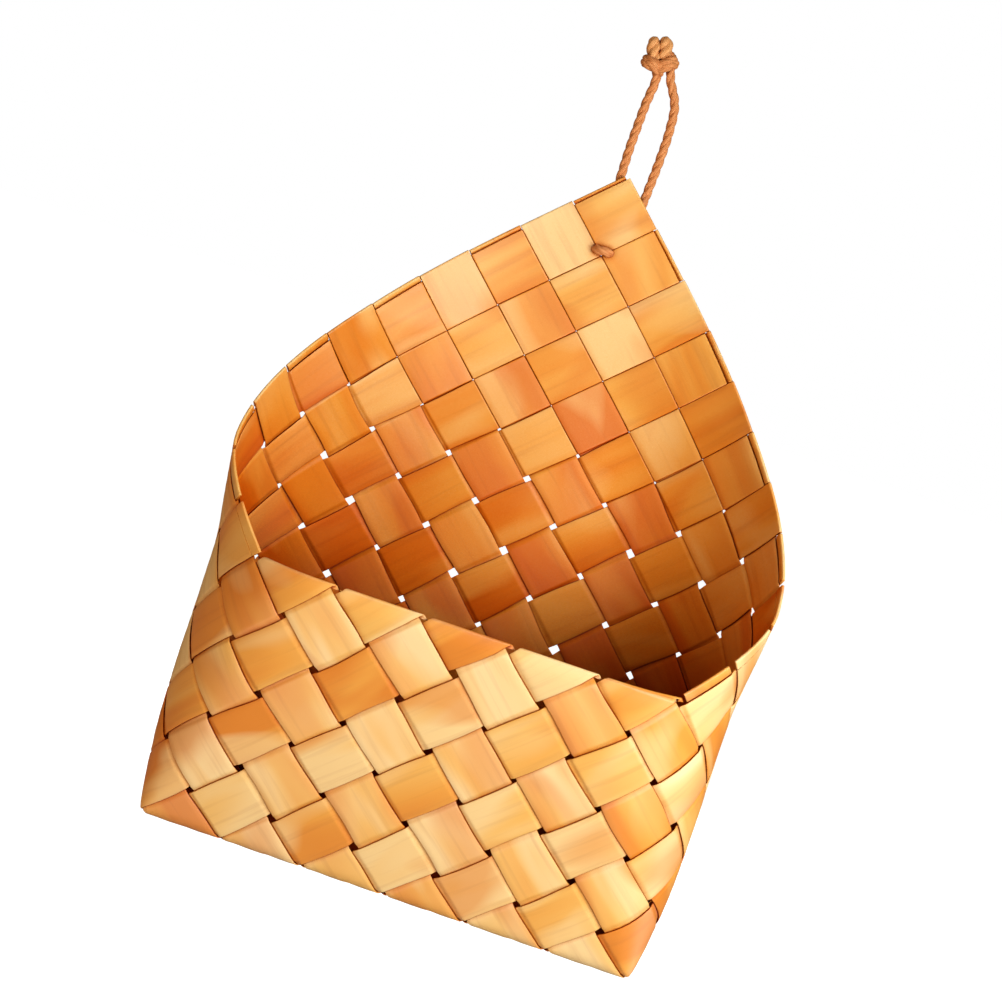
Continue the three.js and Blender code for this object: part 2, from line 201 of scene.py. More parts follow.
class Side:
    """One side of the base, and how the weave folds over its edge onto the wall."""

    def __init__(self, place, turn, fold, middle_steps, half_steps):
        self.place = place
        self.turn = turn
        self.fold = fold
        self.middle = middle_steps * STEP
        self.half = half_steps * STEP

    def chart(self, s, z):
        sharp = np.where(z[..., None] < 0, self.fold(s, z), wall_point(s, np.maximum(z, 0)))
        share = np.clip((z + FOOT_ROUND) / (2 * FOOT_ROUND), 0, 1)[..., None]
        low = self.fold(s, np.full_like(z, -FOOT_ROUND))
        edge = self.fold(s, np.zeros_like(z))
        high = wall_point(s, np.full_like(z, FOOT_ROUND))
        bent = (1 - share) ** 2 * low + 2 * share * (1 - share) * edge + share ** 2 * high
        in_reach = (np.abs(z) < FOOT_ROUND) & (np.abs(s - self.middle) < self.half)
        return np.where(in_reach[..., None], bent, sharp)


FRONT = Side(
    lambda x, y: x,
    lambda dx, dy: dx,
    lambda s, z: base_point(s, -BASE_DEPTH - z),
    0,
    HALF_WIDTH_STEPS,
)
RIGHT = Side(
    lambda x, y: SIDE_START + y,
    lambda dx, dy: dy,
    lambda s, z: base_point(BASE_HALF + z, s - SIDE_START * STEP),
    SIDE_START - BASE_DEPTH_STEPS / 2,
    BASE_DEPTH_STEPS / 2,
)
BACK = Side(
    lambda x, y: BACK_STEPS - x,
    lambda dx, dy: -dx,
    lambda s, z: base_point(BACK_MIDDLE - s, z),
    BACK_STEPS,
    HALF_WIDTH_STEPS,
)
LEFT = Side(
    lambda x, y: -SIDE_START - y,
    lambda dx, dy: -dy,
    lambda s, z: base_point(-BASE_HALF - z, -s - SIDE_START * STEP),
    BASE_DEPTH_STEPS / 2 - SIDE_START,
    BASE_DEPTH_STEPS / 2,
)


def side_of(x, y):
    if y == -BASE_DEPTH_STEPS:
        return FRONT
    if y == 0:
        return BACK
    return RIGHT if x > 0 else LEFT


# Places on the cord: the hole in the weave under the top cell, and the feet of the legs beside its middle
HOLE_HEIGHT = float(wall_height(np.float64((TOP_ROW - 2) * STEP)))
FOOT_HEIGHT = HOLE_HEIGHT + LEGS_RISE
CORD_BEHIND = SKIN + PLY_CLEARANCE + CORD_RADIUS
HALF_APART = LEGS_APART / 2
KNOT_PLACE = np.array([KNOT_MIDDLE[0], CORD_BEHIND, HOLE_HEIGHT + KNOT_MIDDLE[1]])
KNOT_ACROSS = np.array([math.cos(KNOT_TILT), 0, math.sin(KNOT_TILT)])
KNOT_UP = np.array([-math.sin(KNOT_TILT), 0, math.cos(KNOT_TILT)])
TOWARDS_WALL = np.array([0.0, 1.0, 0.0])
ORIGIN = np.array([0, SKIN, KNOT_PLACE[2] - NAIL_DROP])


def to_row(points):
    """Millimetres from the foot of the back to metres in the model's frame."""
    return (np.asarray(points, dtype=float) - ORIGIN) * MM


def on_knot(across, up, back=0.0):
    return KNOT_PLACE + across * KNOT_ACROSS + up * KNOT_UP + back * TOWARDS_WALL


# Camera, fitted to the crossings of the weave in the photograph
CAMERA_PLACE = (20.25, -713.05, 246.29)
CAMERA_AZIMUTH = math.radians(-1.701)
CAMERA_ELEVATION = math.radians(10.126)
CAMERA_ROLL = math.radians(18.451)
CAMERA_LENS = 67.755
CAMERA_SHIFT = (0.0043, 0.0601)
CAMERA_SENSOR = 36
CAMERA_NEAREST = 0.01  # metres

camera_data = bpy.data.cameras.new("camera")
camera_data.sensor_width = CAMERA_SENSOR
camera_data.lens = CAMERA_LENS
camera_data.shift_x = CAMERA_SHIFT[0]
camera_data.shift_y = CAMERA_SHIFT[1]
camera_data.clip_start = CAMERA_NEAREST
camera = bpy.data.objects.new("camera", camera_data)
bpy.context.collection.objects.link(camera)
forward = np.array([
    math.sin(CAMERA_AZIMUTH) * math.cos(CAMERA_ELEVATION),
    math.cos(CAMERA_AZIMUTH) * math.cos(CAMERA_ELEVATION),
    -math.sin(CAMERA_ELEVATION),
])
level_right = np.array([math.cos(CAMERA_AZIMUTH), -math.sin(CAMERA_AZIMUTH), 0])
level_up = np.cross(level_right, forward)
image_right = level_right * math.cos(CAMERA_ROLL) + level_up * math.sin(CAMERA_ROLL)
image_up = level_up * math.cos(CAMERA_ROLL) - level_right * math.sin(CAMERA_ROLL)
camera_axes = np.eye(4)
camera_axes[:3, 0] = image_right
camera_axes[:3, 1] = image_up
camera_axes[:3, 2] = -forward
camera_axes[:3, 3] = to_row(CAMERA_PLACE)
camera.matrix_world = Matrix(camera_axes.tolist())
bpy.context.scene.camera = camera


def make_object(name, vertices, faces, uvs, material):
    """A smooth-shaded mesh object from points in millimetres, with one texture place per point."""
    mesh = bpy.data.meshes.new(name)
    mesh.from_pydata(to_row(vertices).tolist(), [], faces)
    layer = mesh.uv_layers.new(name="grain")
    corners = np.zeros(len(mesh.loops), dtype=np.int32)
    mesh.loops.foreach_get("vertex_index", corners)
    layer.data.foreach_set("uv", np.asarray(uvs)[corners].astype(np.float32).ravel())
    mesh.polygons.foreach_set("use_smooth", [True] * len(mesh.polygons))
    mesh.materials.append(material)
    mesh.update()
    piece = bpy.data.objects.new(name, mesh)
    bpy.context.collection.objects.link(piece)
    return piece


# Materials. Their reaches and heights are in metres.
WHITE = (1, 1, 1, 1)
OPENNESS_SAMPLES = 6


class Nodes:
    """A material's node tree, with short calls for the nodes used here."""

    def __init__(self, name):
        self.material = bpy.data.materials.new(name)
        self.material.use_nodes = True
        self.tree = self.material.node_tree
        self.shader = self.tree.nodes["Principled BSDF"]

    def add(self, kind, **settings):
        node = self.tree.nodes.new(kind)
        for key, value in settings.items():
            setattr(node, key, value)
        return node

    def link(self, source, target):
        self.tree.links.new(source, target)

    def grain_place(self, along, across):
        """The texture place, stretched so that marks run along the grain."""
        place = self.add("ShaderNodeUVMap", uv_map="grain")
        mapping = self.add("ShaderNodeMapping")
        mapping.inputs["Scale"].default_value = (along, across, 1)
        self.link(place.outputs["UV"], mapping.inputs["Vector"])
        return mapping.outputs["Vector"]

    def noise(self, along, across, detail, roughness=0.5, distortion=0.0):
        """Marks drawn out along the grain, so many to a metre along it and across it."""
        node = self.add("ShaderNodeTexNoise")
        node.inputs["Scale"].default_value = 1.0
        node.inputs["Detail"].default_value = detail
        node.inputs["Roughness"].default_value = roughness
        node.inputs["Distortion"].default_value = distortion
        self.link(self.grain_place(along, across), node.inputs["Vector"])
        return node.outputs["Fac"]

    def ramp(self, factor, stops):
        node = self.add("ShaderNodeValToRGB")
        elements = node.color_ramp.elements
        while len(elements) < len(stops):
            elements.new(0.5)
        for element, (place, color) in zip(elements, stops):
            element.position = place
            element.color = (*color, 1)
        self.link(factor, node.inputs["Fac"])
        return node.outputs["Color"]

    def mix(self, factor, first, second, blend="MIX"):
        node = self.add("ShaderNodeMix", data_type="RGBA", blend_type=blend)
        color_inputs = [socket for socket in node.inputs if socket.type == "RGBA"]
        if isinstance(factor, float):
            node.inputs["Factor"].default_value = factor
        else:
            self.link(factor, node.inputs["Factor"])
        for socket, value in zip(color_inputs, (first, second)):
            if isinstance(value, tuple):
                socket.default_value = (*value, 1)
            else:
                self.link(value, socket)
        return [socket for socket in node.outputs if socket.type == "RGBA"][0]

    def span(self, factor, low, high, start=0.0, end=1.0):
        """From low to high while the factor goes from start to end."""
        node = self.add("ShaderNodeMapRange")
        for key, value in (("From Min", start), ("From Max", end), ("To Min", low), ("To Max", high)):
            node.inputs[key].default_value = value
        self.link(factor, node.inputs["Value"])
        return node.outputs["Result"]

    def openness(self, reach):
        """How far a face is left open by the other surfaces within reach."""
        node = self.add("ShaderNodeAmbientOcclusion", samples=OPENNESS_SAMPLES)
        node.inputs["Distance"].default_value = reach
        return node.outputs["AO"]

    def tint(self, color, openness, tints):
        """The colour times the tint that belongs to an openness."""
        return self.mix(1.0, color, self.ramp(openness, tints), blend="MULTIPLY")

    def sum(self, first, second):
        node = self.add("ShaderNodeMath", operation="ADD")
        self.link(first, node.inputs[0])
        self.link(second, node.inputs[1])
        return node.outputs["Value"]

    def bump(self, height, strength, distance):
        node = self.add("ShaderNodeBump")
        node.inputs["Strength"].default_value = strength
        node.inputs["Distance"].default_value = distance
        self.link(height, node.inputs["Height"])
        self.link(node.outputs["Normal"], self.shader.inputs["Normal"])


CREAM = (0.94, 0.65, 0.28)
STRAW = (0.90, 0.49, 0.11)
HONEY = (0.85, 0.36, 0.05)
AMBER = (0.76, 0.24, 0.02)
RUSSET = (0.45, 0.10, 0.01)
TONE_STOPS = [(0.05, AMBER), (0.33, HONEY), (0.63, STRAW), (0.95, CREAM)]
BANDS = dict(along=9, across=36, detail=2.0, roughness=0.55, distortion=0.6)
BAND_RANGE = (0.35, 0.65)  # values of the noise over which the bands go from dark to pale
BAND_SWING = 0.3  # how far the bands move the tone to either side
PALE_MARKS = dict(along=18, across=40, detail=1.0, distortion=0.6)
DEEP_MARKS = dict(along=13, across=30, detail=1.5, distortion=0.8)
MARK_RANGE = (0.54, 0.66)
MARK_STRENGTH = 0.6
STREAKS = dict(along=14, across=300, detail=3.0, roughness=0.6)
STREAK_RANGE = (0.52, 0.8)
STREAK_STRENGTH = 0.3
PORES = dict(along=60, across=2600, detail=3.0, roughness=0.6)
PORE_ROUGHNESS = (0.5, 0.64)
PORE_BUMP = (0.1, 0.0002)  # strength and height
WOOD_IOR = 1.6
# Painted shade: where other wood closes a face in, the wood's colour is darkened and reddened and its gloss
# turned down, so that the deep pocket looks shaded under any light.
GLOSS_LEVELS = (0.1, 0.8)  # deep in the pocket, where the gloss is turned down with the painted shade, and in the open
GLOSS_RANGE = (0.55, 0.95)  # openness over which the gloss grows
RECESS_SHADE_REACH = 0.2  # how near other wood paints shade on a face, deepest in the pocket
RECESS_SHADE_TINTS = [
    (0.1, (0.25, 0.07, 0.01)),
    (0.3, (0.66, 0.28, 0.06)),
    (0.5, (0.80, 0.44, 0.14)),
    (0.75, (0.92, 0.72, 0.44)),
    (0.95, (1, 1, 1)),
]
# Painted shade along the edges where one splint dives under another.
SEAM_SHADE_REACH = 0.0025  # how near a crossing splint's edge paints a thin dark line of shade
SEAM_SHADE_TINTS = [(0.4, (0.26, 0.09, 0.03)), (0.65, (0.66, 0.42, 0.28)), (0.88, (1, 1, 1))]
GRAIN_SHEEN = 0.8  # how far the gloss is drawn out across the grain
SHEEN_TURN = 0.25  # turns from the grain


def splint_material():
    """Planed wood, with the grain along the splint and each splint's own tone."""
    nodes = Nodes("splint_wood")
    tone = nodes.add("ShaderNodeAttribute", attribute_name="tone").outputs["Fac"]
    bands = nodes.span(nodes.noise(**BANDS), -BAND_SWING, BAND_SWING, *BAND_RANGE)
    tone = nodes.sum(nodes.span(tone, 0, 1, -1, 1), bands)
    color = nodes.ramp(tone, TONE_STOPS)
    for marks, extent, strength, mark_color in (
        (PALE_MARKS, MARK_RANGE, MARK_STRENGTH, CREAM),
        (DEEP_MARKS, MARK_RANGE, MARK_STRENGTH, AMBER),
        (STREAKS, STREAK_RANGE, STREAK_STRENGTH, RUSSET),
    ):
        color = nodes.mix(nodes.span(nodes.noise(**marks), 0, strength, *extent), color, mark_color)
    # Painted shade deep in the pocket, and thin painted lines of shade along the crossings' edges.
    recess_shade = nodes.openness(RECESS_SHADE_REACH)
    color = nodes.tint(color, recess_shade, RECESS_SHADE_TINTS)
    color = nodes.tint(color, nodes.openness(SEAM_SHADE_REACH), SEAM_SHADE_TINTS)
    nodes.link(color, nodes.shader.inputs["Base Color"])
    nodes.shader.inputs["IOR"].default_value = WOOD_IOR
    # The gloss is turned down where the pocket's painted shade lies, a painted shade on the sheen.
    gloss = nodes.span(recess_shade, *GLOSS_LEVELS, *GLOSS_RANGE)
    nodes.link(gloss, nodes.shader.inputs["Specular IOR Level"])
    nodes.shader.inputs["Anisotropic"].default_value = GRAIN_SHEEN
    nodes.shader.inputs["Anisotropic Rotation"].default_value = SHEEN_TURN
    tangent = nodes.add("ShaderNodeTangent", direction_type="UV_MAP", uv_map="grain")
    nodes.link(tangent.outputs["Tangent"], nodes.shader.inputs["Tangent"])
    pores = nodes.noise(**PORES)
    nodes.link(nodes.span(pores, *PORE_ROUGHNESS), nodes.shader.inputs["Roughness"])
    nodes.bump(pores, *PORE_BUMP)
    return nodes.material


CORD_LIGHT = (0.72, 0.30, 0.10)
CORD_DARK = (0.50, 0.15, 0.035)
CUT_LIGHT = (0.82, 0.42, 0.16)
CUT_DARK = (0.60, 0.22, 0.05)
FIBRES = dict(along=350, across=2200, detail=3.0, roughness=0.5)
DARK_FIBRE = 0.3  # values of the noise that show the cord's dark and light colours
LIGHT_FIBRE = 0.65
FIBRE_BUMP = (0.25, 0.0002)
CORD_ROUGHNESS = 0.7
CORD_GLOSS = 0.3
CREVICE_SHADE_REACH = 0.0018  # how near another strand paints shade on the cord
CREVICE_SHADE_TINTS = [(0.25, (0.40, 0.20, 0.10)), (0.75, (1, 1, 1))]


def cord_material(name, light, dark):
    """Twisted fibre, with painted shade between the strands."""
    nodes = Nodes(name)
    fibres = nodes.noise(**FIBRES)
    color = nodes.ramp(fibres, [(DARK_FIBRE, dark), (LIGHT_FIBRE, light)])
    # Painted shade between the strands.
    color = nodes.tint(color, nodes.openness(CREVICE_SHADE_REACH), CREVICE_SHADE_TINTS)
    nodes.link(color, nodes.shader.inputs["Base Color"])
    nodes.shader.inputs["Roughness"].default_value = CORD_ROUGHNESS
    nodes.shader.inputs["Specular IOR Level"].default_value = CORD_GLOSS
    nodes.bump(fibres, *FIBRE_BUMP)
    return nodes.material


WOOD = splint_material()
CORD = cord_material("cord_fibre", CORD_LIGHT, CORD_DARK)
CUT_CORD = cord_material("cut_cord_fibre", CUT_LIGHT, CUT_DARK)

# Cord pieces
CORD_SAMPLE = 0.5  # step along the cord's curve
FEWEST_STEPS = 8
CURVE_SAMPLES = 24  # between two of the points that a curve goes through
WRAP_SAMPLES = 25
BIGHT_SAMPLES = 7
STRAND_SIDES = 10
LEAST_SIDEWAYS = 0.1  # a path that starts nearer than this to straight at the wall takes other axes


def smooth_path(points):
    """Even steps along a smooth curve through the points."""
    points = np.asarray(points, dtype=float)
    padded = np.vstack([2 * points[0] - points[1], points, 2 * points[-1] - points[-2]])
    share = np.linspace(0, 1, CURVE_SAMPLES, endpoint=False)[:, None]
    spans = []
    for before, start, end, after in zip(padded, padded[1:], padded[2:], padded[3:]):
        straight = (end - before) * share / 2
        square = (2 * before - 5 * start + 4 * end - after) * share ** 2 / 2
        cube = (3 * start - before - 3 * end + after) * share ** 3 / 2
        spans.append(start + straight + square + cube)
    spans.append(points[-1:])
    dense = np.vstack(spans)
    reach = np.concatenate([[0], np.cumsum(np.linalg.norm(np.diff(dense, axis=0), axis=1))])
    count = max(FEWEST_STEPS, round(reach[-1] / CORD_SAMPLE))
    even = np.linspace(0, reach[-1], count + 1)
    return np.stack([np.interp(even, reach, dense[:, i]) for i in range(3)], axis=1)


def path_length(path):
    return float(np.linalg.norm(np.diff(path, axis=0), axis=1).sum())


def path_axes(path):
    """Two directions across the path at each point, carried along it without twist."""
    along = np.gradient(path, axis=0)
    along /= np.linalg.norm(along, axis=1)[:, None]
    side = np.cross(along[0], TOWARDS_WALL)
    if np.linalg.norm(side) < LEAST_SIDEWAYS:
        side = np.cross(along[0], (1.0, 0, 0))
    sides = []
    for direction in along:
        side = side - direction * side.dot(direction)
        side = side / np.linalg.norm(side)
        sides.append(side)
    sides = np.array(sides)
    return sides, np.cross(along, sides)


def twisted_cord(name, path, radius=CORD_RADIUS, splay=None, material=CORD):
    """Strands laid round one another along the path. splay widens the cord along its length."""
    first, second = path_axes(path)
    reach = np.linspace(0, path_length(path), len(path))
    widen = np.ones(len(path)) if splay is None else np.asarray(splay)
    strand_radius = STRAND_SHARE * radius * CORD_SWELL
    strand_offset = radius * CORD_SWELL - strand_radius
    vertices, faces, uvs = [], [], []
    ring = np.linspace(0, 2 * math.pi, STRAND_SIDES, endpoint=False)
    for strand in range(CORD_STRANDS):
        turn = 2 * math.pi * (reach / CORD_LAY + strand / CORD_STRANDS)
        offset = np.cos(turn)[:, None] * first + np.sin(turn)[:, None] * second
        middle = path + offset * (strand_offset * widen)[:, None]
        start = len(vertices)
        for k in range(len(path)):
            across = np.cos(ring)[:, None] * first[k] + np.sin(ring)[:, None] * second[k]
            vertices.extend(middle[k] + across * strand_radius * widen[k])
            uvs.extend((reach[k] * MM + strand, angle * strand_radius * MM) for angle in ring)
        for k in range(len(path) - 1):
            for i in range(STRAND_SIDES):
                j = (i + 1) % STRAND_SIDES
                row, above = start + k * STRAND_SIDES, start + (k + 1) * STRAND_SIDES
                faces.append((row + i, row + j, above + j, above + i))
        faces.append(tuple(start + i for i in reversed(range(STRAND_SIDES))))
        last = start + (len(path) - 1) * STRAND_SIDES
        faces.append(tuple(last + i for i in range(STRAND_SIDES)))
    return make_object(name, vertices, faces, uvs, material)


def leg_path(side, route, across):
    """From a leg's foot at the hole along its route and up into the knot."""
    points = [(side * HALF_APART, CORD_BEHIND, FOOT_HEIGHT)]
    points += [(x, CORD_BEHIND, HOLE_HEIGHT + z) for x, z in route]
    points.append(on_knot(across, -KNOT_HEIGHT / 2 - CORD_RADIUS))
    points.append(on_knot(across, LEG_TUCK - KNOT_HEIGHT / 2))
    return smooth_path(points)


def wrap_points(side):
    """The cord's turns round one end of the knot, leaning up towards that end."""
    along = (math.cos(WRAP_SLOPE), side * math.sin(WRAP_SLOPE))
    spread = (-side * math.sin(WRAP_SLOPE), math.cos(WRAP_SLOPE))
    points = []
    for turns in np.linspace(0, WRAP_TURNS, WRAP_SAMPLES):
        angle = 2 * math.pi * turns
        out = WRAP_HALF * math.cos(angle)
        lift = WRAP_SPACING * (turns / WRAP_TURNS - 0.5)
        across = side * WRAP_MIDDLE + out * along[0] + lift * spread[0]
        points.append(on_knot(across, out * along[1] + lift * spread[1], -WRAP_DEPTH * math.sin(angle)))
    return points


def knot_path():
    """The cord's turns round the right end of the knot and then round its left end."""
    return smooth_path(wrap_points(1) + wrap_points(-1)[::-1])


def tail_path(side):
    lean = side * TAIL_SPREAD / 2
    top = KNOT_HEIGHT / 2 + TAIL_LENGTH
    heights = (TAIL_ROOT, top * TAIL_BEND, top)
    return smooth_path([on_knot(lean * share, height) for share, height in zip(TAIL_LEANS, heights)])


def tail_swell(count):
    """Share of a tail's thickness along it. Its end is rounded over."""
    end = np.clip((np.linspace(0, 1, count) - TAIL_ROUND_START) / (1 - TAIL_ROUND_START), 0, 1)
    return np.sqrt(1 - TAIL_ROUNDING * end ** 2)


def stitch_path():
    """From one leg's foot through the back, round the bight on the inside and out to the other leg."""
    bend_middle = HALF_APART - CORD_RADIUS - SKIN - PLY_CLEARANCE
    points = [(-HALF_APART, CORD_BEHIND, FOOT_HEIGHT)]
    for turn in np.linspace(0, math.pi, BIGHT_SAMPLES):
        y = bend_middle - HALF_APART * math.sin(turn)
        points.append((-HALF_APART * math.cos(turn), y, FOOT_HEIGHT))
    points.append((HALF_APART, CORD_BEHIND, FOOT_HEIGHT))
    return smooth_path(points)


knot = twisted_cord("loop_knot", knot_path())
tails = []
for name, side in (("loop_tail_left", -1), ("loop_tail_right", 1)):
    path = tail_path(side)
    tails.append(twisted_cord(name, path, TAIL_RADIUS, tail_swell(len(path)), CUT_CORD))
stitch = twisted_cord("loop_stitch", stitch_path())
legs = []
for name, side, route, across in (
    ("loop_left_leg", -1, LEFT_ROUTE, LEFT_LEG_ACROSS),
    ("loop_right_leg", 1, RIGHT_ROUTE, RIGHT_LEG_ACROSS),
):
    path = leg_path(side, route, across)
    leg = twisted_cord(name, path)
    legs.append(leg)
    path_length(path) * MM
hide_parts("cord_knot")
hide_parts("cord_stitch")
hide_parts("cord_left_leg")
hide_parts("cord_right_leg")
for piece in (knot, *tails, *legs):
    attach(piece, "hang_loop")
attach(stitch, "basket")

# Splint pieces
DIVE_START = 0.445  # where a splint leaves its face of the weave, from a cell's middle, in pitches
LATEST_DIVE = 0.485  # the same where the splints are drawn together
# Places of the cross-sections along one cell, in pitches from its middle, closer where a splint dives
DIVE_STATIONS = np.array([DIVE_START, 0.465, LATEST_DIVE, 0.4925, 0.5])
FACE_STATIONS = np.array([-0.42, -0.36, -0.25, -0.12, 0, 0.12, 0.25, 0.36, 0.42])
CELL_STATIONS = PITCH * np.concatenate([-DIVE_STATIONS[-2::-1], FACE_STATIONS, DIVE_STATIONS])
ACROSS = HALF_SPLINT * np.array([-1, -0.97, -0.75, -0.4, 0, 0.4, 0.75, 0.97, 1])
HALF_THICKNESS = np.where(np.abs(ACROSS) >= HALF_SPLINT, HALF_PLY * EDGE_SHARE, HALF_PLY)
# Shares of the way to a splint's end on the rim, round the rim's fold and down the flap behind it
END_SHARES = np.linspace(0.12, 1, 8)
FOLD_SHARES = np.linspace(0.12, 1, 9)
FLAP_SHARES = (0.1, 0.3, 0.55, 0.8, 1.0)
HEM_ROUND_SAMPLES = 6
SLOPE_STEP = 0.4  # distance over which the wall's slope is measured


class Cell:
    """One woven cell of a splint: its place on a chart, the splint's run there, and its face.

    u goes along the run and v to its left, as seen from outside the basket.
    """

    def __init__(self, chart, place, run, leftward, sign, drift):
        self.chart = chart
        self.place = place
        self.run = run
        self.leftward = leftward
        self.sign = sign
        self.drift = drift

    def chart_place(self, u, v):
        shift, stretch = self.drift(u)
        v = v * stretch + shift
        a = self.place[0] * STEP + (u * self.run[0] + v * self.leftward[0]) / math.sqrt(2)
        b = self.place[1] * STEP + (u * self.run[1] + v * self.leftward[1]) / math.sqrt(2)
        return a, b

    def point(self, u, v):
        return self.chart(*self.chart_place(u, v))

    def normal(self, u, v):
        along = self.point(u + SLOPE_STEP, v) - self.point(u - SLOPE_STEP, v)
        across = self.point(u, v + SLOPE_STEP) - self.point(u, v - SLOPE_STEP)
        normal = np.cross(along, across)
        return normal / np.linalg.norm(normal, axis=-1)[..., None]

    def level(self, u, v):
        _, stretch = self.drift(u)
        start = np.clip(HALF_SPLINT * stretch / PITCH, DIVE_START, LATEST_DIVE)
        share = np.clip((np.abs(u) / PITCH - start) / (1 - 2 * start), 0, 1)
        dive = 1 - 2 * share ** 2 * (3 - 2 * share)
        along = np.cos(math.pi * np.clip(u / PITCH, -0.5, 0.5)) ** 2
        swell = BULGE * along * (1 - BULGE_FALL * (v / HALF_SPLINT) ** 2)
        return self.sign * (LAYER * dive + swell)

    def section(self, u):
        """Outer and inner points of one cross-section, at u along the cell."""
        u = np.broadcast_to(np.asarray(u, dtype=float), ACROSS.shape)
        middle = self.point(u, ACROSS)
        normal = self.normal(u, ACROSS)
        level = self.level(u, ACROSS)
        outer = middle + normal * (level + HALF_THICKNESS)[:, None]
        inner = middle + normal * (level - HALF_THICKNESS)[:, None]
        return outer, inner

    def hem_section(self, u, outer_level, inner_level):
        """Outer and inner points of one cross-section of a hem, at even levels off the weave's middle."""
        u = np.full(ACROSS.shape, u)
        middle = self.point(u, ACROSS)
        normal = self.normal(u, ACROSS)
        return middle + normal * outer_level, middle + normal * inner_level


class Ribbon:
    """Cross-sections along a splint, each with its distance along the splint."""

    def __init__(self):
        self.outer = []
        self.inner = []
        self.along = []

    def add(self, section, along):
        self.outer.append(section[0])
        self.inner.append(section[1])
        self.along.append(np.broadcast_to(np.asarray(along, dtype=float), ACROSS.shape))

    def reverse(self):
        self.outer = [points[::-1] for points in reversed(self.outer)]
        self.inner = [points[::-1] for points in reversed(self.inner)]
        self.along = [-places[::-1] for places in reversed(self.along)]

    def extend(self, other):
        self.outer += other.outer
        self.inner += other.inner
        self.along += other.along


def add_hem(ribbon, cell, along):
    """The rounded hem that a splint is turned over in, past the splint along a side edge."""
    _, stretch = cell.drift(HALF_SPLINT)
    start = HALF_SPLINT * stretch + WOOD_CLEARANCE
    face = WOOD_SKIN * cell.sign
    near = (LAYER - HALF_PLY) * cell.sign
    tip = HALF_SPLINT + np.interp(cell.place[1], HEM_ROWS, HEM_REACHES)
    bend_place, bend_depth = GROOVE_BEND
    stations = [
        (start, face, near),
        (start + bend_place, face, -bend_depth * face),
        (start + GROOVE_WIDTH, face, -face),
    ]
    for turn in np.linspace(0, math.pi / 2 * HEM_ROUND, HEM_ROUND_SAMPLES):
        level = face * math.cos(turn)
        stations.append((tip - WOOD_SKIN + WOOD_SKIN * math.sin(turn), level, -level))
    for u, near_side, far_side in stations:
        levels = (near_side, far_side) if cell.sign > 0 else (far_side, near_side)
        ribbon.add(cell.hem_section(u, *levels), along + u)


def run_to(ribbon, cell, along, end):
    """The stretch of a splint in its last cell, from the cell before to its end on the rim."""
    start = -PITCH / 2
    for share in END_SHARES:
        u = start + (end - start) * share
        ribbon.add(cell.section(u), along + u)


def add_rim_fold(ribbon, cell, along):
    """An outer splint's end on the front rim: folded over the rim, with a pointed flap on the inside."""
    fold_radius = 2 * LAYER
    fold_height = RIM_HEIGHT + RIM_RISE - fold_radius - HALF_PLY
    fold_length = fold_radius * math.pi
    slant = cell.run[0]
    to_fold = math.sqrt(2) * (fold_height - RIM_HEIGHT) - slant * ACROSS
    run_to(ribbon, cell, along, to_fold)
    full_flap = math.sqrt(2) * (HALF_SPLINT + slant * ACROSS) / 2
    flap_length = np.maximum(full_flap - FLAP_SHORTENING, SHORTEST_FLAP)
    past_fold = [np.full(ACROSS.shape, fold_length * share) for share in FOLD_SHARES]
    past_fold += [fold_length + flap_length * share for share in FLAP_SHARES]
    for past in past_fold:
        u = to_fold + math.sqrt(2) * past
        s, _ = cell.chart_place(u, ACROSS)
        turn = np.clip(past / fold_radius, 0, math.pi)
        height = fold_height - np.maximum(past - fold_length, 0)
        middle = wall_point(s, height)
        up = wall_point(s, height + SLOPE_STEP) - wall_point(s, height - SLOPE_STEP)
        up /= np.linalg.norm(up, axis=-1)[:, None]
        aside = wall_point(s + SLOPE_STEP, height) - wall_point(s - SLOPE_STEP, height)
        out = np.cross(aside, up)
        out /= np.linalg.norm(out, axis=-1)[:, None]
        middle = middle + up * (fold_radius * np.sin(turn))[:, None]
        middle = middle + out * (fold_radius * np.cos(turn) - LAYER)[:, None]
        face = out * np.cos(turn)[:, None] + up * np.sin(turn)[:, None]
        thickness = HALF_THICKNESS[:, None]
        ribbon.add((middle + face * thickness, middle - face * thickness), along + u)


def add_rim_cut(ribbon, cell, along):
    """An inner splint's end on the front rim, cut off inside the fold."""
    run_to(ribbon, cell, along, math.sqrt(2) * RIM_CUT - cell.run[0] * ACROSS)


def draw_together(row, shift, stretch):
    """A splint's wander and width at a row of the wall, where the weave closes towards the upper edge."""
    start, end = CLOSING_ROWS
    share = np.clip((row - start) / (end - start), 0, 1)
    closed = share ** 2 * (3 - 2 * share)
    left = 1 - (1 - CLOSED_DRIFT) * closed
    wider = (PITCH - CLOSED_GAP) / SPLINT_WIDTH - 1
    return shift * left, 1 + (stretch - 1) * left + wider * closed


